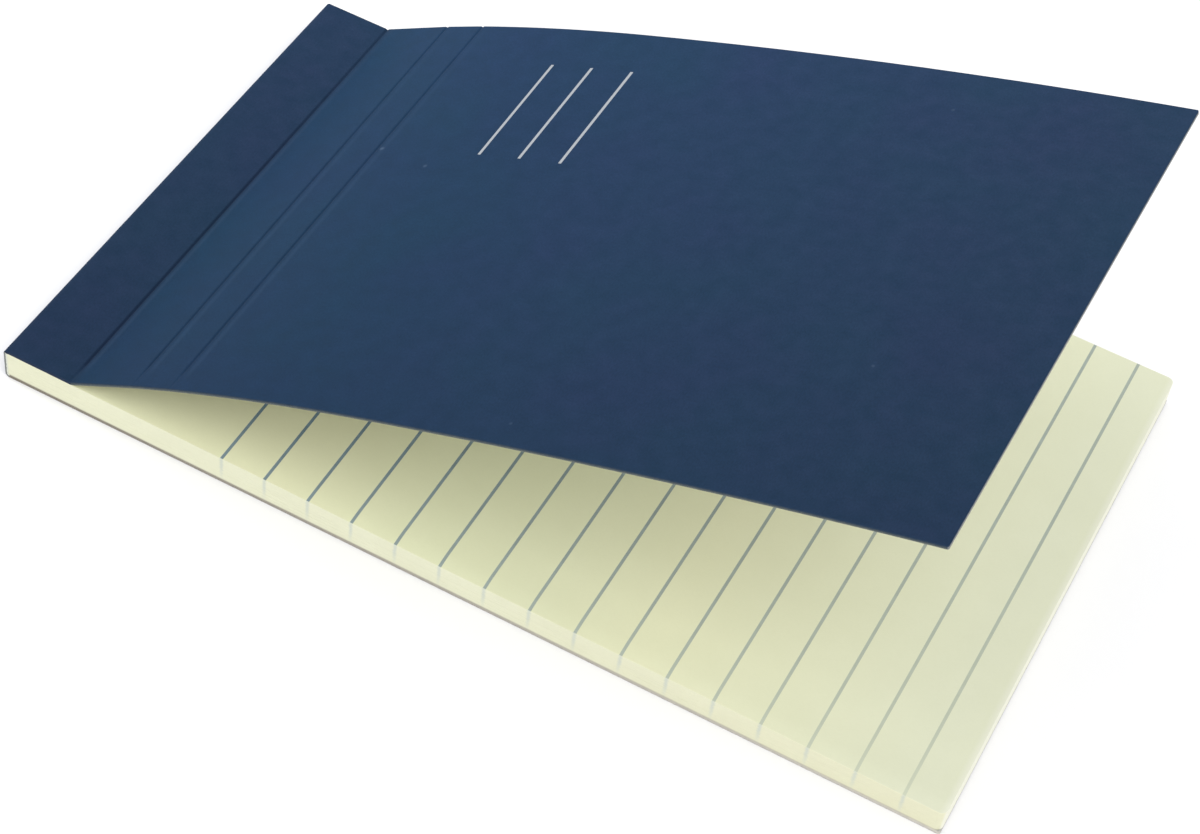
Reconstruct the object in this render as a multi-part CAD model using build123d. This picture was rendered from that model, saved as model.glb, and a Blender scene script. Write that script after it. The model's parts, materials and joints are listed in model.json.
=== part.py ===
from build123d import *
import math
import os

# A pad of sticky notes bound along one short edge. A single sheet of card makes the
# back cover, folds up round the bound edge, comes back over the notes as a short glued
# strip, and then lifts from a crease as the front cover. The origin is at the centre
# of the underside, X runs along the pad from the bound edge, and Z is up.
# All sizes are in millimetres and all angles in degrees.

# The notes: one block of about fifty sheets
note_length = 127.0
note_width = 76.2
block_height = 3.9
corner_ease = 0.4

# The card and its folds
card = 0.5
fold_radius = 0.15
strip_length = 9.8
cover_setback = 0.8

# The front cover as it stands: two flat panels between scored lines, then a bowed leaf
open_angle = 29.5
first_panel = 10.5
second_panel = 6.0
first_kink = 1.8
second_kink = 1.2
early_bow_length = 25.5
early_bow_turn = 4.9
late_bow_turn = 5.1

# A scored line: a shallow valley on the outer face with a low bead behind it
score_width = 0.6
score_depth = 0.12
bead_height = 0.08

# Half of the hairline left between the strip and the front cover at the crease
crease_clearance = 0.05

# How far a cutting shape runs past the face that it cuts
overrun = 1.0

# Places that follow from the sizes
overall_length = card + note_length
spine_x = -overall_length / 2
free_x = overall_length / 2
crease_x = spine_x + strip_length
notes_top = card + block_height
strip_top = notes_top + card
flap_length = overall_length - strip_length - cover_setback
late_bow_length = flap_length - first_panel - second_panel - early_bow_length


def heading(angle):
    """Unit direction in the side view, measured up from the X axis."""
    return Vector(math.cos(math.radians(angle)), math.sin(math.radians(angle)))


def across(section):
    """Carries a side-view section across the whole width of the pad."""
    return extrude(Plane.XZ * section, amount=note_width / 2, both=True)


def score_valley(point, angle):
    """Section of the valley that the scoring rule presses into the outer face."""
    floor = ThreePointArc((-score_width / 2, 0), (0, -score_depth), (score_width / 2, 0))
    lid = Polyline(floor @ 1, (score_width / 2, overrun), (-score_width / 2, overrun), floor @ 0)
    return Pos(point) * Rot(0, 0, angle) * make_face([floor, lid])


def score_bead(point, angle):
    """Section of the low bead that the scoring rule raises on the inner face."""
    crown = ThreePointArc((-score_width / 2, -card), (0, -card - bead_height), (score_width / 2, -card))
    root = -card + bead_height
    foot = Polyline(crown @ 1, (score_width / 2, root), (-score_width / 2, root), crown @ 0)
    return Pos(point) * Rot(0, 0, angle) * make_face([crown, foot])


def crease_point():
    """The line that the front cover turns on: the outer face of the card at the crease."""
    return Vector(crease_x, strip_top)


def flap_path():
    """Outer face of the front cover, from the crease to its free edge."""
    first_angle = open_angle
    second_angle = first_angle - first_kink
    bow_angle = second_angle - second_kink
    start = crease_point() + crease_clearance * heading(first_angle)
    first = Line(start, crease_point() + first_panel * heading(first_angle))
    second = Line(first @ 1, first @ 1 + second_panel * heading(second_angle))
    early_radius = early_bow_length / math.radians(early_bow_turn)
    early = JernArc(second @ 1, heading(bow_angle), early_radius, -early_bow_turn)
    late_radius = late_bow_length / math.radians(late_bow_turn)
    late = JernArc(early @ 1, early % 1, late_radius, -late_bow_turn)
    return [first, second, early, late]


def flap_section():
    """The front cover's card, with its two scored lines and its half of the crease."""
    path = flap_path()
    sheet = make_face(Wire(path).offset_2d(card, Kind.INTERSECTION, Side.RIGHT, closed=True).edges())
    scores = [(path[0] @ 1, open_angle - first_kink / 2),
              (path[1] @ 1, open_angle - first_kink - second_kink / 2)]
    for point, angle in scores:
        sheet = sheet - score_valley(point, angle)
        sheet = sheet + score_bead(point, angle)
    return sheet - score_valley(crease_point(), open_angle)


def front_cover():
    """The leaf of card that lifts from the crease."""
    return across(flap_section())


def wrap_section():
    """Back cover, folded spine and glued strip as one folded sheet, with its half of the crease."""
    corner = fold_radius + card
    path = FilletPolyline((free_x, 0), (spine_x, 0), (spine_x, strip_top),
                          (crease_x - crease_clearance, strip_top), radius=corner)
    sheet = make_face(path.wires()[0].offset_2d(card, Kind.INTERSECTION, Side.RIGHT, closed=True).edges())
    return sheet - score_valley(crease_point(), 0)


def cover_wrap():
    """The part of the cover that is fixed to the notes."""
    return across(wrap_section())


def note_sheets():
    """The block of notes, seated in the folded card and trimmed flush with it."""
    block = Pos(spine_x + card, 0, card) * Box(note_length, note_width, block_height,
                                               align=(Align.MIN, Align.CENTER, Align.MIN))
    bound_edges = block.faces().sort_by(Axis.X)[0].edges().filter_by(Axis.Y)
    block = fillet(bound_edges, fold_radius)
    free_corners = block.edges().filter_by(Axis.Z).group_by(Axis.X)[-1]
    return fillet(free_corners, corner_ease)


def main():
    os.makedirs("parts", exist_ok=True)
    export_step(cover_wrap(), "parts/cover_wrap.step")
    export_step(front_cover(), "parts/front_cover.step")
    export_step(note_sheets(), "parts/note_sheets.step")


main()
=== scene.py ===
import json
import math
import random

import bpy
import numpy as np
from mathutils import Matrix, Vector


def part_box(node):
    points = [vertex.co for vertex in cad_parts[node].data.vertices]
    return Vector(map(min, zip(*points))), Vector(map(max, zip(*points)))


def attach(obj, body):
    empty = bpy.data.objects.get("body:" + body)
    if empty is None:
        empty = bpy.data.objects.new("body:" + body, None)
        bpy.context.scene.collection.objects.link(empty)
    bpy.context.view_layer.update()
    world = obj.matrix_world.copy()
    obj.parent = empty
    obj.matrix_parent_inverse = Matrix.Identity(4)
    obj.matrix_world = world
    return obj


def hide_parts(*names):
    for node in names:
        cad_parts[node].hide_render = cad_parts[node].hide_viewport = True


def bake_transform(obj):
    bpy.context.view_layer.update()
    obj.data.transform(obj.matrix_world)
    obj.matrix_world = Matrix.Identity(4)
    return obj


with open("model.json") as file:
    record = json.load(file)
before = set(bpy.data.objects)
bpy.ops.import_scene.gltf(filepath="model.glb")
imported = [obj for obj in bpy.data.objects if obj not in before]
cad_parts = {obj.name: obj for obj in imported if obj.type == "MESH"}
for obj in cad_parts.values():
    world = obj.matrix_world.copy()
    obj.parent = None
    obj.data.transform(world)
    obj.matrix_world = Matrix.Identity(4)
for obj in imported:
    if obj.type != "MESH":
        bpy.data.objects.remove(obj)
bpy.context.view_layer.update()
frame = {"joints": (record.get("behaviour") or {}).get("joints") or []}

# A pad of sticky notes with a folded card cover. The card is one sheet that makes the back
# cover, the bound edge, a glued strip and the raised front cover. Here it is two pieces that
# meet just before the crease, because the front cover turns and the rest stays on the pad.
# X runs along the pad from its bound edge, Z is up, and lengths are in metres.

MM = 0.001
wrap_low, wrap_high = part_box("cover_wrap")
notes_low, notes_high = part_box("note_sheets")
crease = Vector(frame["joints"][0]["pos_m"])

# Sizes that follow from the frame
card = notes_low.z - wrap_low.z
half_width = wrap_high.y
spine_x, free_x = wrap_low.x, wrap_high.x
overall_length = free_x - spine_x
spine_height = wrap_high.z - wrap_low.z
strip_length = crease.x - spine_x
block_height = notes_high.z - notes_low.z

# The folds in the card, and the front cover as it stands: two flat panels, then a bow in two parts
fold_radius = 0.15 * MM
crease_radius = 0.25 * MM
open_angle = 29.5
first_panel, first_kink = 10.5 * MM, 1.8
second_panel, second_kink = 6.0 * MM, 1.2
early_bow_length, early_bow_turn = 25.5 * MM, 4.9
late_bow_turn = 5.1
cover_setback = 0.8 * MM
cover_length = overall_length - strip_length - cover_setback
late_bow_length = cover_length - first_panel - second_panel - early_bow_length

# The scored lines. By the near edge they are faint: faintest over the first reach, and then
# less and less so over the fade.
score_width, score_depth, bead_height = 0.6 * MM, 0.12 * MM, 0.07 * MM
faint_reach, faint_fade, faint_share = 0.8 * MM, 3.0 * MM, 0.2

# The soft rim and corners of the card, and how far its long sides wander from a straight cut
card_edge_round = 0.05 * MM
card_corner = 0.25 * MM
side_wander, wander_step, wander_seed = 0.012 * MM, 1.5 * MM, 11

# Where the card's two pieces meet, measured along the card from the crease
card_seam = -0.7 * MM

# The three plain white rules on the front cover: places along it from the crease, and
# places across it from the middle of its width
cover_rule_count, cover_rule_width = 3, 0.41 * MM
first_cover_rule, cover_rule_gap = 32.42 * MM, 6.0 * MM
cover_rule_near, cover_rule_far = 10.3 * MM, 30.0 * MM

# The notes. Their near edge sinks a little, most at the free end, which is cut slightly out of square.
sheet_count, sheet_seed = 50, 23
note_corner = 0.9 * MM
edge_reach = 2.4 * MM
middle_sink, free_sink = 0.28 * MM, 0.50 * MM
near_cut, far_cut = 0.15 * MM, 0.36 * MM

# The edges of the sheets: the grooves between them, the rounding of the top one, and how
# far each sheet strays at its sides and its end and along a slow wave
half_gap, groove, lip = 0.001 * MM, 0.018 * MM, 0.012 * MM
round_drop, round_inset, top_inset = 0.006 * MM, 0.012 * MM, 0.035 * MM
side_stray, end_stray, wave_stray, wave_length = 0.012 * MM, 0.016 * MM, 0.010 * MM, 9 * MM

# The rules on the page: the first from the bound edge and the last from the free end
rule_count, rule_width = 16, 0.40 * MM
first_rule, last_rule = 31.45 * MM, 5.4 * MM

# The camera: where it stands, what it looks at, its roll and its lens
camera_at = Vector((84.17, -219.77, 271.04)) * MM
camera_aim = Vector((3.36, -7.58, 4.4)) * MM
camera_roll = 8.953
camera_lens = 84.86
camera_sensor = 36.0

# The stretches of the card that are its two folds and its crease, in the list of its bends
back_fold, strip_fold, crease_bend = 1, 3, 5

# The places of the materials in each piece's list
navy_face, printed_face, plain_face, cut_face = range(4)
page_face, ruled_face, side_face = range(3)


# Helpers for meshes and materials

class Look:
    """A material that is built from nodes, with short calls for the nodes that it uses."""

    def __init__(self, name):
        self.material = bpy.data.materials.new(name)
        self.material.use_nodes = True
        self.nodes = self.material.node_tree.nodes
        self.links = self.material.node_tree.links
        self.nodes.clear()
        self.shader = self.nodes.new("ShaderNodeBsdfPrincipled")
        output = self.nodes.new("ShaderNodeOutputMaterial")
        self.links.new(self.shader.outputs["BSDF"], output.inputs["Surface"])

    def put(self, value, socket):
        """Links an output to a socket, or sets the socket to a plain value."""
        if isinstance(value, bpy.types.NodeSocket):
            self.links.new(value, socket)
        else:
            socket.default_value = value

    def card_place(self):
        """Where a point lies on the unfolded card: along it, across it and through it."""
        node = self.nodes.new("ShaderNodeAttribute")
        node.attribute_type = "GEOMETRY"
        node.attribute_name = "card_place"
        return node.outputs["Vector"]

    def object_place(self):
        """Where a point lies in the part's own frame."""
        return self.nodes.new("ShaderNodeTexCoord").outputs["Object"]

    def axes(self, vector):
        """The three numbers of a vector or a colour."""
        node = self.nodes.new("ShaderNodeSeparateXYZ")
        self.links.new(vector, node.inputs[0])
        return node.outputs

    def stretched(self, vector, scale, turn=0.0):
        """A vector that is scaled along each axis and then turned about Z."""
        node = self.nodes.new("ShaderNodeMapping")
        node.inputs["Scale"].default_value = scale
        node.inputs["Rotation"].default_value = (0, 0, turn)
        self.links.new(vector, node.inputs["Vector"])
        return node.outputs["Vector"]

    def noise(self, vector, size, detail=3.0, roughness=0.6):
        """Noise whose blots are about the given size across."""
        node = self.nodes.new("ShaderNodeTexNoise")
        node.inputs["Scale"].default_value = 1 / size
        node.inputs["Detail"].default_value = detail
        node.inputs["Roughness"].default_value = roughness
        self.links.new(vector, node.inputs["Vector"])
        return node.outputs[0]

    def specks(self, vector, size, channel, rarity, core, strength):
        """Round specks in a few cells of the given size. Their core is a share of that size."""
        soft_rim = 0.03
        node = self.nodes.new("ShaderNodeTexVoronoi")
        node.inputs["Scale"].default_value = 1 / size
        self.links.new(vector, node.inputs["Vector"])
        chosen = self.past(self.axes(node.outputs["Color"])[channel], rarity)
        spot = self.ramp(node.outputs["Distance"], core, core + soft_rim, 1.0, 0.0)
        return self.product(spot, chosen, strength)

    def ramp(self, value, low, high, to_low=0.0, to_high=1.0):
        """A value carried from one span to another, and held at both ends of it."""
        node = self.nodes.new("ShaderNodeMapRange")
        node.clamp = True
        self.put(value, node.inputs["Value"])
        node.inputs["From Min"].default_value = low
        node.inputs["From Max"].default_value = high
        node.inputs["To Min"].default_value = to_low
        node.inputs["To Max"].default_value = to_high
        return node.outputs["Result"]

    def spread(self, noise, low=0.0, high=1.0):
        """Noise carried from the span that it mostly keeps to onto the given one."""
        return self.ramp(noise, 0.3, 0.7, low, high)

    def calculate(self, kind, first, second=0.5):
        """Two values put together by a kind of sum."""
        node = self.nodes.new("ShaderNodeMath")
        node.operation = kind
        self.put(first, node.inputs[0])
        self.put(second, node.inputs[1])
        return node.outputs[0]

    def product(self, first, *others):
        """Values multiplied together."""
        for other in others:
            first = self.calculate("MULTIPLY", first, other)
        return first

    def away(self, value, place):
        """How far a value lies from a place, on either side."""
        return self.calculate("ABSOLUTE", self.calculate("SUBTRACT", value, place))

    def past(self, value, place):
        """1 where a value is above a place, and 0 elsewhere."""
        return self.calculate("GREATER_THAN", value, place)

    def mix(self, share, first, second, kind="MIX"):
        """Two colours mixed by a share, or put together in another kind of way."""
        node = self.nodes.new("ShaderNodeMix")
        node.data_type = "RGBA"
        node.blend_type = kind
        self.put(share, node.inputs["Factor"])
        a, b = [socket for socket in node.inputs if socket.type == "RGBA"]
        self.put(first, a)
        self.put(second, b)
        return next(socket for socket in node.outputs if socket.type == "RGBA")

    def stops(self, value, places):
        """A colour that passes smoothly through several colours: a list of places and colours."""
        base = places[0][1]
        for (start, _), (end, shade) in zip(places, places[1:]):
            base = self.mix(self.ramp(value, start, end), base, shade)
        return base

    def times(self, base, factor):
        """A colour multiplied by another colour or by a value."""
        return self.mix(1.0, base, factor, "MULTIPLY")

    def tinted(self, base, share, first, second):
        """A colour multiplied by a tint that goes from one colour to another by a share."""
        return self.times(base, self.mix(share, first, second))

    def bump(self, height, depth, strength, under=None):
        """Fine relief that only shades, laid over another one if that is given."""
        node = self.nodes.new("ShaderNodeBump")
        node.inputs["Strength"].default_value = strength
        node.inputs["Distance"].default_value = depth
        self.links.new(height, node.inputs["Height"])
        if under is not None:
            self.links.new(under, node.inputs["Normal"])
        return node.outputs["Normal"]

    def finish(self, base, roughness, specular, normal=None):
        """Sets the shader and gives back the material."""
        self.put(base, self.shader.inputs["Base Color"])
        self.put(roughness, self.shader.inputs["Roughness"])
        self.shader.inputs["Specular IOR Level"].default_value = specular
        if normal is not None:
            self.links.new(normal, self.shader.inputs["Normal"])
        return self.material


def colour(red, green, blue):
    return (red, green, blue, 1.0)


def make_piece(name, points, faces, looks, materials):
    """A mesh object from points, faces and each face's place in the list of materials."""
    mesh = bpy.data.meshes.new(name)
    mesh.from_pydata(points, [], faces)
    for material in materials:
        mesh.materials.append(material)
    mesh.polygons.foreach_set("material_index", looks)
    mesh.validate()
    mesh.update()
    piece = bpy.data.objects.new(name, mesh)
    bpy.context.scene.collection.objects.link(piece)
    return piece


def smooth_but_for(piece, angle):
    """Smooth shading, with edges sharper than the angle kept sharp."""
    piece.data.shade_smooth()
    piece.data.set_sharp_from_angle(angle=math.radians(angle))


def clamped(value):
    """A value held between 0 and 1."""
    return min(1.0, max(0.0, value))


def rounding(radius, away):
    """How far a rounded corner draws in at a place that lies this far from its end."""
    into = min(radius, max(0.0, radius - away))
    return radius - math.sqrt(radius ** 2 - into ** 2)


# Materials of the card

def cover_ink():
    """Matt navy card: greener at its hinge, with faint blotches, fine grain and pale specks, painted light
    that lightens the front cover and its far side, and painted shade and highlights along the pressed lines.
    """
    look = Look("navy_card")
    place = look.card_place()
    along, across, _ = look.axes(place)
    blotch = look.noise(place, size=22 * MM, roughness=0.55)
    cloud = look.noise(place, size=2.6 * MM)
    grain = look.noise(look.stretched(place, (1.0, 0.6, 1.0)), size=0.22 * MM, roughness=0.65)
    fibre = look.noise(look.stretched(place, (0.35, 1.0, 1.0), turn=0.5), size=0.12 * MM, detail=2.0)
    speck = look.specks(place, size=9 * MM, channel=0, rarity=0.85, core=0.02, strength=0.35)

    base = navy(look, along, across)
    blotches = look.ramp(blotch, 0.32, 0.68)
    base = look.tinted(base, blotches, colour(1.10, 0.96, 1.02), colour(0.90, 1.04, 0.98))
    base = look.tinted(base, look.spread(cloud), colour(0.70, 0.89, 0.91), colour(1.30, 1.11, 1.09))
    base = look.times(base, look.spread(grain, 0.88, 1.14))
    base = look.mix(speck, base, colour(0.12, 0.18, 0.27))
    # Painted shade and highlights along the crease and the scored lines
    base = painted_score_shading(look, along, across, base)
    relief = look.bump(grain, depth=0.010 * MM, strength=0.5)
    relief = look.bump(fibre, depth=0.006 * MM, strength=0.4, under=relief)
    return look.finish(base, roughness=look.spread(cloud, 0.70, 0.80), specular=0.12, normal=relief)


def navy(look, along, across):
    """The navy, which changes a little along the card, partly in hue and partly by painted light that makes
    the front cover lighter than the strip, and which is painted paler towards its far side.
    """
    # Hues along the card, with painted light: the strip darker and the front cover lighter
    hues_and_painted_light = [(-0.3 * MM, colour(0.0095, 0.0282, 0.0655)),
             (1.5 * MM, colour(0.0055, 0.0305, 0.0744)),
             (10 * MM, colour(0.0076, 0.0330, 0.0785)),
             (30 * MM, colour(0.0070, 0.0306, 0.0746)),
             (60 * MM, colour(0.0088, 0.0296, 0.0728)),
             (110 * MM, colour(0.0095, 0.0281, 0.0648))]
    # Painted shade by the near side and painted light towards the far side
    near_painted_shade, far_painted_light = colour(0.86, 0.86, 0.86), colour(1.32, 1.16, 1.15)
    far_light_share = look.ramp(across, -half_width, half_width)
    return look.tinted(look.stops(along, hues_and_painted_light), far_light_share, near_painted_shade, far_painted_light)


def painted_score_shading(look, along, across, base):
    """The pressed lines: painted shade in the groove of each line and a painted highlight beside it on its
    lit side, each fainter towards both ends of the line.
    """
    bare_reach, far_start, far_strength = 1.6 * MM, 5 * MM, 0.35
    shade_core, shade_rim, shade_shares = 0.10 * MM, 0.40 * MM, (0.50, 0.27, 0.22)
    highlight_offset, highlight_core, highlight_rim, highlight_share = 0.95 * MM, 0.1 * MM, 0.5 * MM, 0.14
    near_fade = look.ramp(across, -half_width + bare_reach, -half_width + faint_reach + faint_fade)
    reach = look.product(near_fade, look.ramp(across, far_start, half_width, 1.0, far_strength))
    for place, shade_share in zip(score_places(), shade_shares):
        share = look.ramp(look.away(along, place), shade_core, shade_rim, shade_share, 0.0)
        # Painted shade in the groove
        base = look.mix(look.product(share, reach), base, colour(0.001, 0.006, 0.022))
        share = look.ramp(look.away(along, place + highlight_offset), highlight_core, highlight_rim, highlight_share, 0.0)
        # Painted highlight on the groove's lit side
        base = look.mix(look.product(share, reach), base, colour(0.040, 0.080, 0.150))
    return base


def cover_rule_ink():
    """White print on the navy card, a little thin where the card's grain dips."""
    look = Look("white_print")
    grain = look.noise(look.card_place(), size=0.16 * MM, detail=2.0)
    thin = look.ramp(grain, 0.3, 0.55, 0.35, 0.0)
    base = look.mix(thin, colour(0.365, 0.385, 0.410), colour(0.17, 0.21, 0.28))
    relief = look.bump(grain, depth=0.008 * MM, strength=0.4)
    return look.finish(base, roughness=0.55, specular=0.2, normal=relief)


def card_inside():
    """The uncoated side of the card: pale warm grey with small flecks and fibres, and painted shade that
    greys it towards the fold.
    """
    look = Look("card_inside")
    place = look.card_place()
    along = look.axes(place)[0]
    cloud = look.noise(place, size=9 * MM)
    fibre = look.noise(look.stretched(place, (0.3, 1.0, 1.0), turn=0.35), size=0.14 * MM, roughness=0.65)
    fleck = look.specks(place, size=1.9 * MM, channel=1, rarity=0.72, core=0.03, strength=0.4)

    # Painted shade: greyer towards the fold, deep in the wedge under the front cover
    base = look.stops(along, [(8 * MM, colour(0.42, 0.42, 0.40)), (60 * MM, colour(0.69, 0.68, 0.645))])
    base = look.times(base, look.spread(cloud, 0.96, 1.03))
    base = look.mix(look.ramp(fibre, 0.35, 0.75, 0.0, 0.3), base, colour(0.50, 0.49, 0.46))
    base = look.mix(fleck, base, colour(0.30, 0.28, 0.25))
    relief = look.bump(fibre, depth=0.012 * MM, strength=0.6)
    return look.finish(base, roughness=0.85, specular=0.2, normal=relief)


def card_cut():
    """The card's cut edge: brownish board at the back cover with painted shade and light, grey at the bound
    edge, inked beyond it.
    """
    look = Look("card_cut")
    place = look.card_place()
    along, _, through = look.axes(place)
    ragged = look.noise(place, size=0.25 * MM, detail=2.0)
    depth = look.calculate("ADD", through, look.spread(ragged, -0.10 * card, 0.10 * card))
    layers = look.noise(look.stretched(place, (0.05, 0.05, 1.0)), size=0.05 * MM)
    spine_end = -strip_length
    back_end = spine_end - spine_height

    base = back_cut(look, along, depth, back_end)
    base = look.mix(look.past(along, back_end), base, spine_cut(look, depth))
    base = look.mix(look.past(along, spine_end), base, strip_cut(look, depth))
    base = look.mix(look.past(along, 0.0), base, leaf_cut(look, along, depth))
    base = look.times(base, look.spread(layers, 0.84, 1.16))
    relief = look.bump(layers, depth=0.012 * MM, strength=0.6)
    return look.finish(base, roughness=0.85, specular=0.2, normal=relief)


def back_cut(look, along, depth, back_end):
    """The back cover's cut edge: brownish board, painted dark with shade at the bound end and paler with
    painted light towards the free end, with a dark strip along its outer side that is ink and painted
    contact shadow.
    """
    # Board colour, with painted light at the free end and painted shade at the bound end
    buff_and_painted_light, brown_and_painted_shade = colour(0.565, 0.540, 0.480), colour(0.212, 0.188, 0.150)
    board = look.stops(along, [(back_end - overall_length, buff_and_painted_light), (back_end, brown_and_painted_shade)])
    # Navy ink along the outer side, darkened further as painted contact shadow
    return look.mix(look.ramp(depth, 0.05 * card, 0.16 * card, 0.6, 0.0), board, colour(0.030, 0.040, 0.060))


def spine_cut(look, depth):
    """The cut edge at the bound end, from its dark outer side to its pale inner side."""
    return look.stops(depth, [(0.05 * card, colour(0.080, 0.092, 0.098)),
                              (0.25 * card, colour(0.210, 0.222, 0.210)),
                              (0.50 * card, colour(0.230, 0.240, 0.225)),
                              (0.70 * card, colour(0.680, 0.700, 0.600))])


def strip_cut(look, depth):
    """The strip's cut edge: ink that reaches through almost to the inner side."""
    return look.mix(look.ramp(depth, 0.85 * card, card, 0.0, 0.4), colour(0.011, 0.024, 0.056),
                    colour(0.16, 0.18, 0.19))


def leaf_cut(look, along, depth):
    """The front cover's cut edge: dark along its sides and greyer at its free end."""
    end_start, end_full = cover_length - 0.2 * MM, cover_length - 0.05 * MM
    side = look.stops(depth, [(0.10 * card, colour(0.012, 0.030, 0.062)),
                              (0.45 * card, colour(0.050, 0.068, 0.080)),
                              (card, colour(0.150, 0.165, 0.150))])
    end = look.stops(depth, [(0.10 * card, colour(0.030, 0.048, 0.080)),
                             (0.4 * card, colour(0.230, 0.240, 0.235))])
    return look.mix(look.ramp(along, end_start, end_full), side, end)


# Materials of the notes

def note_paper(look, pale, deep, fibre_tone):
    """Pastel paper with soft clouds in its pulp and short fine fibres: its colour, and the fibres."""
    place = look.object_place()
    cloud = look.noise(place, size=7 * MM)
    pulp = look.noise(place, size=0.9 * MM)
    fibre = look.noise(look.stretched(place, (0.3, 1.0, 1.0), turn=0.6), size=0.13 * MM, roughness=0.65)
    base = look.mix(look.spread(cloud), pale, deep)
    base = look.mix(look.ramp(pulp, 0.4, 0.75, 0.0, 0.35), base, deep)
    base = look.mix(look.ramp(fibre, 0.45, 0.8, 0.0, 0.3), base, fibre_tone)
    return base, fibre


def squared_place(look, along, across):
    """Where a point lies along the notes, as if their free end were cut square."""
    return look.calculate("ADD", along, look.ramp(across, -half_width, half_width, near_cut, far_cut))


def page_paper():
    """The top page, with painted light and shade: painted lighter and darker along its length, painted
    brighter along its near edge towards the bound end and duller towards the free end, and paled at its free
    end by a painted highlight.
    """
    look = Look("note_page")
    along, across, _ = look.axes(look.object_place())
    base, fibre = note_paper(look, pale=colour(0.706, 0.726, 0.517), deep=colour(0.689, 0.710, 0.499),
                             fibre_tone=colour(0.635, 0.655, 0.457))
    # Painted light and shade along the page
    painted_light_tints = [(-25 * MM, colour(1.03, 1.01, 0.955)),
             (-5 * MM, colour(1.0, 1.0, 0.955)),
             (10 * MM, colour(1.01, 1.005, 0.975)),
             (25 * MM, colour(1.05, 1.03, 1.0)),
             (40 * MM, colour(1.01, 1.0, 1.01)),
             (60 * MM, colour(0.95, 0.95, 1.02))]
    base = look.times(base, look.stops(along, painted_light_tints))

    # Painted light along the near edge: brighter by the bound end, duller towards the free end
    painted_light_end, painted_shade_start, band = -30 * MM, 10 * MM, 7.1 * MM
    near_edge_light = look.ramp(across, -half_width, -half_width + band, 1.0, 0.0)
    painted_light_change = look.product(look.ramp(along, painted_light_end, painted_shade_start, 0.08, -0.06), near_edge_light)
    base = look.times(base, look.calculate("ADD", painted_light_change, 1.0))

    # Painted highlight that pales the free end
    painted_highlight_reach = 0.9 * MM
    pale = look.ramp(squared_place(look, along, across), free_x - painted_highlight_reach, free_x, 0.0, 0.4)
    base = look.mix(pale, base, colour(0.78, 0.78, 0.72))
    relief = look.bump(fibre, depth=0.010 * MM, strength=0.5)
    return look.finish(base, roughness=0.88, specular=0.15, normal=relief)


def page_edges():
    """The cut sides of the sheets, with painted light that makes their paper lighter than the top page, the
    ends of their rules, a painted highlight that pales the side at the free end, and painted shade along the
    lowest sheets by the back cover.
    """
    look = Look("note_edges")
    place = look.object_place()
    along, across, height = look.axes(place)
    # Painted light: paper lighter than the top page's, as the sides catch more light
    base, fibre = note_paper(look, pale=colour(0.757, 0.762, 0.588), deep=colour(0.730, 0.733, 0.560),
                             fibre_tone=colour(0.66, 0.66, 0.50))
    warm_place, end_start, end_full, bottom_shade_height = 60 * MM, 0.3 * MM, 0.1 * MM, 0.32 * MM
    warmth = look.ramp(along, 0, warm_place)
    base = look.tinted(base, warmth, colour(1.0, 1.0, 1.0), colour(0.98, 0.965, 0.935))
    base = look.mix(rule_ends(look, place, along, height), base, colour(0.58, 0.62, 0.55))
    # Painted highlight that pales the side at the free end
    end = look.ramp(squared_place(look, along, across), free_x - end_start, free_x - end_full)
    base = look.mix(end, base, colour(0.790, 0.790, 0.680))
    # Painted shade along the lowest sheets, above the back cover
    bottom_shade = look.ramp(height, notes_low.z, notes_low.z + bottom_shade_height, 0.55, 0.0)
    bottom_shade = look.product(bottom_shade, look.ramp(end, 0.0, 1.0, 1.0, 0.2))
    base = look.mix(bottom_shade, base, colour(0.30, 0.28, 0.225))
    relief = look.bump(fibre, depth=0.012 * MM, strength=0.5)
    return look.finish(base, roughness=0.9, specular=0.12, normal=relief)


def rule_ends(look, place, along, height):
    """How strongly the ends of the sheets' rules show on the cut side: soft smudges, fainter lower down."""
    wander, core, rim = 0.10 * MM, 0.08 * MM, 0.34 * MM
    centres = rule_places()
    half_pitch = (centres[1] - centres[0]) / 2
    first, last = centres[0] - half_pitch, centres[-1] + half_pitch
    sheets = look.noise(look.stretched(place, (0.08, 0.08, 1.0)), size=0.12 * MM, detail=2.0)
    wandered = look.calculate("ADD", along, look.spread(sheets, -wander, wander))
    from_middle = look.calculate("PINGPONG", look.calculate("SUBTRACT", wandered, first), half_pitch)
    smudge = look.ramp(from_middle, half_pitch - rim, half_pitch - core)
    ruled = look.product(look.past(along, first), look.calculate("LESS_THAN", along, last))
    low, high = notes_low.z + 0.10 * block_height, notes_low.z + 0.60 * block_height
    return look.product(smudge, ruled, look.ramp(height, low, high, 0.15, 0.80))


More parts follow.
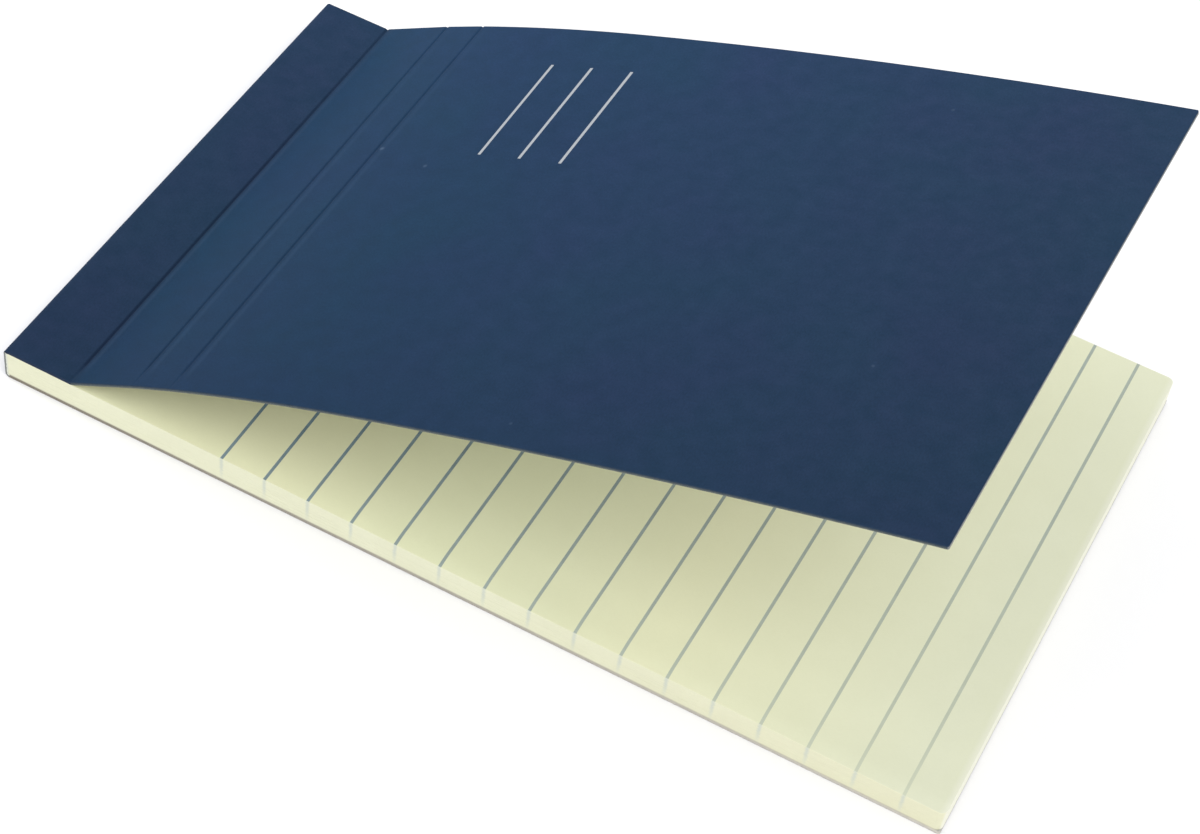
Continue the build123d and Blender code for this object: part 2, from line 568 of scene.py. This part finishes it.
def page_ink():
    """The printed rule: grey-blue ink, a little uneven, with painted light that pales it towards the free
    end and the near edge.
    """
    look = Look("rule_ink")
    place = look.object_place()
    along, across, _ = look.axes(place)
    patch = look.noise(place, size=1.3 * MM)
    grain = look.noise(place, size=0.12 * MM, detail=2.0)
    blue_end, painted_light_start, pale_start = -35 * MM, -25 * MM, 57 * MM
    base = look.stops(along, [(blue_end, colour(0.130, 0.210, 0.268)),
                              (pale_start, colour(0.165, 0.225, 0.252))])
    base = look.times(base, look.spread(patch, 0.90, 1.10))
    base = look.mix(look.ramp(grain, 0.45, 0.8, 0.0, 0.3), base, colour(0.30, 0.38, 0.37))

    # Painted light: the ink is mixed towards the page colour, most at the free end and by the near edge,
    # less towards the far side
    edge_place, band_place, far_place = -36 * MM, -29 * MM, 9 * MM
    thin = look.ramp(along, painted_light_start, pale_start, 0.0, 0.59)
    thin = look.calculate("ADD", thin, look.ramp(across, edge_place, band_place, 0.09, 0.0))
    thin = look.calculate("SUBTRACT", thin, look.ramp(across, band_place, far_place, 0.0, 0.24))
    base = look.mix(look.calculate("MAXIMUM", thin, 0.0), base, colour(0.67, 0.69, 0.50))
    relief = look.bump(grain, depth=0.006 * MM, strength=0.4)
    return look.finish(base, roughness=0.8, specular=0.2, normal=relief)


# The folded card

def end_share(x):
    """How far a place lies past the last printed rule, as a share of the way to the free end."""
    reach = last_rule - rule_width / 2
    return max(0.0, (x - free_x + reach) / reach)


def free_cut(x, across):
    """How far a point near the free end draws in, because the end is cut out of square."""
    cut = near_cut + (far_cut - near_cut) * (across / half_width + 1) / 2
    return cut * end_share(x)


def card_bends():
    """Length and turn of each stretch of the card's outer face, from the back cover's free edge."""
    corner = fold_radius + card
    corner_arc = corner * math.pi / 2
    crease_turn = math.radians(open_angle)
    crease_arc = crease_radius * crease_turn
    crease_reach = crease_radius * math.tan(crease_turn / 2)
    half_score = score_width / 2
    return [(overall_length - corner, 0),
            (corner_arc, -90),
            (spine_height - 2 * corner, 0),
            (corner_arc, -90),
            (strip_length - corner - crease_reach, 0),
            (crease_arc, open_angle),
            (first_panel - crease_reach - half_score, 0),
            (score_width, -first_kink),
            (second_panel - score_width, 0),
            (score_width, -second_kink),
            (early_bow_length - half_score, -early_bow_turn),
            (late_bow_length, -late_bow_turn)]


class CardLine:
    """The card's outer face in the side view. Places along it are measured from the crease."""

    step = 0.01 * MM

    def __init__(self):
        bends = card_bends()
        ends = np.concatenate([[0], np.cumsum([length for length, turn in bends])])
        headings = 180 + np.concatenate([[0], np.cumsum([turn for length, turn in bends])])
        run = np.append(np.arange(0, ends[-1], self.step), ends[-1])
        self.heading = np.radians(np.interp(run, ends, headings))
        middle = (self.heading[1:] + self.heading[:-1]) / 2
        gap = np.diff(run)
        self.x = free_x + np.concatenate([[0], np.cumsum(np.cos(middle) * gap)])
        self.z = wrap_low.z + np.concatenate([[0], np.cumsum(np.sin(middle) * gap)])
        at_crease = (ends[crease_bend] + ends[crease_bend + 1]) / 2
        self.run = run - at_crease
        self.ends = ends - at_crease

    def point(self, along, depth):
        """A point that lies the given depth behind the outer face."""
        turn = np.interp(along, self.run, self.heading)
        x = np.interp(along, self.run, self.x) + depth * math.sin(turn)
        z = np.interp(along, self.run, self.z) - depth * math.cos(turn)
        return x, z


def score_places():
    """Where the crease and the two scored lines lie along the card."""
    return [0.0, first_panel, first_panel + second_panel]


def cover_rules():
    """Where each white rule starts and ends along the card."""
    centres = [first_cover_rule + i * cover_rule_gap for i in range(cover_rule_count)]
    return [(c - cover_rule_width / 2, c + cover_rule_width / 2) for c in centres]


def hollow(along, places):
    """A smooth dip from 0 to 1 and back, one score wide, at each of the places."""
    total = 0.0
    for place in places:
        away = abs(along - place) / (score_width / 2)
        if away < 1:
            total += 0.5 + 0.5 * math.cos(math.pi * away)
    return total


def pressed_share(across):
    """How fully the lines are pressed at a place across the card: faintly by its near edge."""
    return faint_share + (1 - faint_share) * clamped((across + half_width - faint_reach) / faint_fade)


def end_reaches():
    """How far from an end of the card its corners and its rim need a row of points."""
    corner_rows, rim_shares = 6, (0.3, 1.0, 2.5)
    turns = np.linspace(0, math.pi / 2, corner_rows)
    corner = [card_corner * (1 - math.cos(t)) for t in turns]
    return corner + [card_edge_round * share for share in rim_shares]


def card_stations(line, start, end):
    """Places along the card that get a row of points: close where it folds, is scored or is printed."""
    coarse, fine, fine_reach, fold_rows = 1.5 * MM, 0.05 * MM, 0.5 * MM, 12
    least_gap, print_gap = 0.008 * MM, 0.02 * MM
    printed = [place for rule in cover_rules() for place in rule]
    places = set(np.linspace(start, end, max(2, round((end - start) / coarse)))) | set(printed)
    for place in score_places():
        places |= set(np.arange(place - fine_reach, place + fine_reach, fine))
    for fold in (back_fold, strip_fold):
        places |= set(np.linspace(line.ends[fold], line.ends[fold + 1], fold_rows))
    for reach in end_reaches():
        places |= {line.run[0] + reach, line.run[-1] - reach}
    kept = []
    for place in sorted(p for p in places if start <= p <= end):
        crowded = kept and place - kept[-1] < least_gap
        beside_print = any(0 < abs(place - p) < print_gap for p in printed)
        if not crowded and not beside_print:
            kept.append(place)
    kept[0], kept[-1] = start, end
    return kept


def card_across():
    """Places across the card's faces, close at the edges, where the lines fade and where the print ends."""
    count, fade_shares, edge_shares = 41, (0.0, 0.2, 0.6, 0.8), (1.0, 3.0)
    inner = half_width - card_edge_round
    places = {inner * share for share in np.linspace(-1, 1, count)}
    places |= {-half_width + faint_reach + share * faint_fade for share in fade_shares}
    places |= {cover_rule_near, cover_rule_far}
    places |= {side * (inner - card_edge_round * share) for side in (-1, 1) for share in edge_shares}
    return sorted(places)


def edge_curve():
    """Rounding of the card's rim: how far in from the side, and how deep, from face to side."""
    steps = 3
    turns = np.linspace(0, math.pi / 2, steps + 1)[1:]
    return [(card_edge_round * (1 - math.sin(t)), card_edge_round * (1 - math.cos(t))) for t in turns]


def card_section():
    """One closed loop round the card, of places across and depths, and the points in a face and in a rim."""
    side_steps = 4
    across = card_across()
    rim = edge_curve()
    side = np.linspace(card_edge_round, card - card_edge_round, side_steps + 1)[1:-1]
    loop = [(y, 0.0) for y in across]
    loop += [(half_width - inset, depth) for inset, depth in rim]
    loop += [(half_width, depth) for depth in side]
    loop += [(half_width - inset, card - depth) for inset, depth in reversed(rim)]
    loop += [(y, card) for y in reversed(across)]
    loop += [(-half_width + inset, card - depth) for inset, depth in rim]
    loop += [(-half_width, depth) for depth in reversed(side)]
    loop += [(-half_width + inset, depth) for inset, depth in reversed(rim)]
    return loop, len(across), len(rim) * 2 + len(side)


def side_trims(line):
    """How far the card's near and far sides lie in from a straight cut, at even places along it."""
    beyond_end = 2 * MM
    rng = random.Random(wander_seed)
    places = np.arange(line.run[0], line.run[-1] + beyond_end, wander_step)
    return places, [[rng.uniform(0, side_wander) for _ in places] for _ in range(2)]


def card_points(line, stations, loop):
    """The points of a piece of the card, and where each one lies on the unfolded card."""
    trim_places, trims = side_trims(line)
    points, places = [], []
    for along in stations:
        away = min(along - line.run[0], line.run[-1] - along)
        pull, close = rounding(card_corner, away), rounding(card_edge_round, away)
        dip = score_depth * hollow(along, score_places())
        bead = bead_height * hollow(along, score_places()[1:])
        near_trim, far_trim = (np.interp(along, trim_places, side) for side in trims)
        for across, depth in loop:
            reach = 1 - (pull + (far_trim if across > 0 else near_trim)) / half_width
            level = min(max(depth, close), card - close)
            outer_share = 1 - level / card
            level += (dip * outer_share + bead * (1 - outer_share)) * pressed_share(across)
            x, z = line.point(along, level)
            x -= free_cut(x, across) if along < line.ends[back_fold] else 0.0
            points.append((x, across * reach, z))
            places.append((along, across, depth))
    return points, places


def card_faces(stations, loop, face_count, rim_count):
    """The skin of a piece of the card: navy or white outside, plain inside, cut edges round the rim."""
    size = len(loop)
    rules = cover_rules()
    faces, looks = [], []
    for i in range(len(stations) - 1):
        middle = (stations[i] + stations[i + 1]) / 2
        ruled = any(near < middle < far for near, far in rules)
        for j in range(size):
            k = (j + 1) % size
            faces.append((i * size + j, (i + 1) * size + j, (i + 1) * size + k, i * size + k))
            if j < face_count - 1:
                across = (loop[j][0] + loop[k][0]) / 2
                inside_rule = ruled and cover_rule_near < across < cover_rule_far
                looks.append(printed_face if inside_rule else navy_face)
            elif face_count + rim_count <= j < 2 * face_count + rim_count - 1:
                looks.append(plain_face)
            else:
                looks.append(cut_face)
    return faces, looks


def rim_fan(points, places, corners):
    """Faces that close the rim at one end of the card, round a new point at their middle."""
    middle = len(points)
    points.append(tuple(np.mean([points[k] for k in corners], axis=0)))
    places.append(tuple(np.mean([places[k] for k in corners], axis=0)))
    return [(middle, second, first) for first, second in zip(corners, corners[1:] + corners[:1])]


def card_ends(points, places, last_row, size, face_count, rim_count):
    """The faces that close the two ends of a piece of the card."""
    far_start = face_count + rim_count
    far_end = far_start + face_count - 1
    faces = []
    for row, flip in ((0, True), (last_row, False)):
        base = row * size
        ends = []
        for j in range(face_count - 1):
            back = far_end - j
            ends.append((base + j, base + back, base + back - 1, base + j + 1))
        ends += rim_fan(points, places, [base + j for j in range(face_count - 1, far_start + 1)])
        ends += rim_fan(points, places, [base + j % size for j in range(far_end, size + 1)])
        faces += [tuple(reversed(face)) if flip else face for face in ends]
    return faces


def card_piece(name, line, start, end, materials):
    """One piece of the folded card, between two places along it."""
    stations = card_stations(line, start, end)
    loop, face_count, rim_count = card_section()
    points, places = card_points(line, stations, loop)
    faces, looks = card_faces(stations, loop, face_count, rim_count)
    ends = card_ends(points, places, len(stations) - 1, len(loop), face_count, rim_count)
    piece = make_piece(name, points, faces + ends, looks + [cut_face] * len(ends), materials)
    attribute = piece.data.attributes.new("card_place", "FLOAT_VECTOR", "POINT")
    attribute.data.foreach_set("vector", np.array(places, np.float32).ravel())
    smooth_but_for(piece, angle=50)
    return piece


def folded_card():
    """The cover as its two pieces: what is fixed to the notes, and the front cover with the crease."""
    line = CardLine()
    materials = [cover_ink(), cover_rule_ink(), card_inside(), card_cut()]
    wrap = card_piece("card_back_and_strip", line, line.run[0], card_seam, materials)
    leaf = card_piece("card_front_cover", line, card_seam, line.run[-1], materials)
    return wrap, leaf


# The notes

def rule_places():
    """Where the middle of each printed rule lies along the page."""
    first, last = spine_x + first_rule, free_x - last_rule
    gap = (last - first) / (rule_count - 1)
    return [first + i * gap for i in range(rule_count)]


def note_columns():
    """Places along the notes that get a column of points, and which columns start a rule."""
    bound_columns, gap_columns, free_columns, corner_columns = 14, 4, 5, 6
    edges = [x + side * rule_width / 2 for x in rule_places() for side in (-1, 1)]
    places = list(np.linspace(notes_low.x, edges[0], bound_columns)[:-1])
    for i in range(rule_count):
        places += [edges[2 * i], edges[2 * i + 1]]
        if i + 1 < rule_count:
            places += list(np.linspace(edges[2 * i + 1], edges[2 * i + 2], gap_columns)[1:-1])
    corner_start = notes_high.x - note_corner
    turns = np.linspace(0, math.pi / 2, corner_columns)[1:]
    places += list(np.linspace(edges[-1], corner_start, free_columns)[1:])
    places += [corner_start + note_corner * math.sin(t) for t in turns]
    return places, {places.index(edge) for edge in edges[::2]}


def fold_pull(z):
    """How far the bound end draws in where the card's fold is round, and a hair's gap elsewhere."""
    hair_gap = 0.015 * MM
    return hair_gap + rounding(fold_radius, min(z - notes_low.z, notes_high.z - z))


def sunk(x, y, z):
    """Height of a point of the notes once their near edge has sunk."""
    soft = clamped(1 - max(0.0, y + half_width) / edge_reach) ** 2
    quarter = (notes_high.x - notes_low.x) / 4
    rise = clamped((x - notes_low.x - quarter) / quarter)
    late = clamped((x - notes_low.x - 3 * quarter) / quarter)
    sink = middle_sink * rise * rise * (3 - 2 * rise) + (free_sink - middle_sink) * late
    return z - sink * soft * (z - notes_low.z) / block_height


def cross_shares():
    """Shares of the notes' width that get a line of points, close by the two long edges."""
    close_shares, middle_count = (0.06, 0.14, 0.25, 0.4, 0.6, 0.8, 1.0), 27
    close = [edge_reach * share / (2 * half_width) for share in close_shares]
    middle = np.linspace(close[-1], 1 - close[-1], middle_count)[1:-1]
    return close + list(middle) + [1 - share for share in reversed(close)]


class SheetEdge:
    """How one sheet of the pad sits: its trim and the wander of its edge."""

    def __init__(self, rng):
        self.near = abs(rng.gauss(0, side_stray))
        self.far = abs(rng.gauss(0, side_stray))
        self.end = abs(rng.gauss(0, end_stray))
        self.phase = rng.uniform(0, 2 * math.pi)
        self.wave = rng.uniform(0.0, wave_stray)

    def trim(self, x, side):
        """How far a long side of the sheet is trimmed in at a place along it."""
        base = self.near if side < 0 else self.far
        return base + self.wave * (1 + math.sin(x / wave_length + self.phase + side))


def note_ring(z, inset, sheet, columns, shares):
    """One level of the notes' skin: near side, free end, far side and bound end."""
    near, far = [], []
    for x in columns:
        moved = x - (inset + sheet.end) * end_share(x)
        moved += fold_pull(z) if x == columns[0] else 0.0
        side = half_width - rounding(note_corner, notes_high.x - x) - inset
        near.append((moved - free_cut(x, -half_width), -side + sheet.trim(x, -1), z))
        far.append((moved - free_cut(x, half_width), side - sheet.trim(x, 1), z))
    ring = list(near)
    ring += [tuple(np.array(near[-1]) * (1 - share) + np.array(far[-1]) * share) for share in shares]
    ring += reversed(far)
    ring += [tuple(np.array(far[0]) * (1 - share) + np.array(near[0]) * share) for share in shares]
    return [(x, y, sunk(x, y, z)) for x, y, z in ring]


def note_levels(rng):
    """Heights and insets of the skin: flat edges between grooves, and a rounded edge on the top sheet."""
    thickness = block_height / sheet_count
    levels = []
    for i in range(sheet_count):
        sheet = SheetEdge(rng)
        low = notes_low.z + i * thickness
        high = low + thickness
        levels.append((low + half_gap, groove if i else 0.0, sheet))
        levels.append((low + lip, 0.0, sheet))
        if i < sheet_count - 1:
            levels.append((high - lip, 0.0, sheet))
            levels.append((high - half_gap, groove, sheet))
    levels.append((high - 2 * lip, 0.0, sheet))
    levels.append((high - round_drop, round_inset, sheet))
    levels.append((high, top_inset, sheet))
    return levels


def level_grid(points, base, height, count, shares):
    """Rows of points across the notes at one level, one for each column of the ring that starts at base."""
    far_start = base + count + len(shares)
    grid = []
    for i in range(count):
        near, far = base + i, far_start + count - 1 - i
        if i == count - 1:
            middle = list(range(base + count, far_start))
        elif i == 0:
            middle = list(range(far_start + count, far_start + count + len(shares)))[::-1]
        else:
            middle = []
            start, end = np.array(points[near]), np.array(points[far])
            for share in shares:
                x, y, _ = start * (1 - share) + end * share
                middle.append(len(points))
                points.append((x, y, sunk(x, y, height)))
        grid.append([near] + middle + [far])
    return grid


def note_block():
    """The glued block of ruled notes, as one closed skin with a small step for each sheet."""
    columns, rules = note_columns()
    shares = cross_shares()
    levels = note_levels(random.Random(sheet_seed))
    rings = [note_ring(z, inset, sheet, columns, shares) for z, inset, sheet in levels]
    size = len(rings[0])
    points = [p for ring in rings for p in ring]
    faces, looks = [], []
    for i in range(len(rings) - 1):
        for j in range(size):
            k = (j + 1) % size
            faces.append((i * size + j, i * size + k, (i + 1) * size + k, (i + 1) * size + j))
            looks.append(side_face)
    top = level_grid(points, (len(rings) - 1) * size, notes_high.z, len(columns), shares)
    bottom = level_grid(points, 0, levels[0][0], len(columns), shares)
    for i in range(len(columns) - 1):
        for j in range(len(shares) + 1):
            faces.append((top[i][j], top[i + 1][j], top[i + 1][j + 1], top[i][j + 1]))
            looks.append(ruled_face if i in rules else page_face)
            faces.append((bottom[i][j], bottom[i][j + 1], bottom[i + 1][j + 1], bottom[i + 1][j]))
            looks.append(side_face)
    piece = make_piece("ruled_notes", points, faces, looks, [page_paper(), page_ink(), page_edges()])
    smooth_but_for(piece, angle=25)
    return piece


# The studio

def studio_floor():
    """A plain pale tabletop that the pad lies on."""
    half, rows = 4.0, 8
    steps = np.linspace(-half, half, rows + 1)
    points = [(x, y, wrap_low.z) for y in steps for x in steps]
    corners = [row * (rows + 1) + column for row in range(rows) for column in range(rows)]
    faces = [(c, c + 1, c + rows + 2, c + rows + 1) for c in corners]
    look = Look("pale_table")
    cloud = look.noise(look.object_place(), size=60 * MM, detail=2.0, roughness=0.5)
    base = look.mix(look.spread(cloud), colour(0.885, 0.885, 0.902), colour(0.895, 0.895, 0.912))
    material = look.finish(base, roughness=0.7, specular=0.2)
    floor = make_piece("tabletop", points, faces, [0] * len(faces), [material])


def soft_light(name, azimuth, elevation, strength):
    """A large square light that faces the pad. Azimuth 0 is the near side and 90 the free end."""
    distance, size = 2.0, 1.2
    data = bpy.data.lights.new(name, "AREA")
    data.shape = "SQUARE"
    data.size = size
    data.energy = strength * (math.pi * distance) ** 2
    light = bpy.data.objects.new(name, data)
    around, above = math.radians(azimuth), math.radians(elevation)
    way = Vector((math.sin(around) * math.cos(above), -math.cos(around) * math.cos(above), math.sin(above)))
    light.location = way * distance
    light.rotation_euler = (-way).to_track_quat("-Z", "Y").to_euler()
    bpy.context.scene.collection.objects.link(light)


def studio_light():
    """Even white light from all round, a high light towards the free end and a low one at the bound end."""
    world_strength = 0.93
    world = bpy.data.worlds.new("studio")
    bpy.context.scene.world = world
    world.use_nodes = True
    background = world.node_tree.nodes["Background"]
    background.inputs["Color"].default_value = colour(1.0, 1.0, 1.0)
    background.inputs["Strength"].default_value = world_strength
    soft_light("key", azimuth=45, elevation=55, strength=0.35)
    soft_light("side", azimuth=270, elevation=25, strength=0.38)


def studio_camera():
    """The camera at the photograph's viewing angle."""
    data = bpy.data.cameras.new("camera")
    data.sensor_fit = "HORIZONTAL"
    data.sensor_width = camera_sensor
    data.lens = camera_lens
    data.clip_start, data.clip_end = 0.01, 20.0
    camera = bpy.data.objects.new("camera", data)
    ahead = (camera_aim - camera_at).normalized()
    level = ahead.cross(Vector((0, 0, 1))).normalized()
    up = level.cross(ahead)
    roll = math.radians(camera_roll)
    right = level * math.cos(roll) + up * math.sin(roll)
    up = right.cross(ahead)
    camera.matrix_world = Matrix((
        (right.x, up.x, -ahead.x, camera_at.x),
        (right.y, up.y, -ahead.y, camera_at.y),
        (right.z, up.z, -ahead.z, camera_at.z),
        (0, 0, 0, 1)))
    bpy.context.scene.collection.objects.link(camera)
    bpy.context.scene.camera = camera


def dress():
    """Makes the pieces, joins the notes and the card's back and strip to the pad, and hides the parts that
    they replace.
    """
    notes = note_block()
    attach(notes, "pad")
    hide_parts("note_sheets")
    wrap, leaf = folded_card()
    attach(wrap, "pad")
    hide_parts("cover_wrap")
    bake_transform(leaf)
    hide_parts("front_cover")


dress()
studio_floor()
studio_light()
studio_camera()
bpy.context.scene.view_settings.view_transform = "Standard"
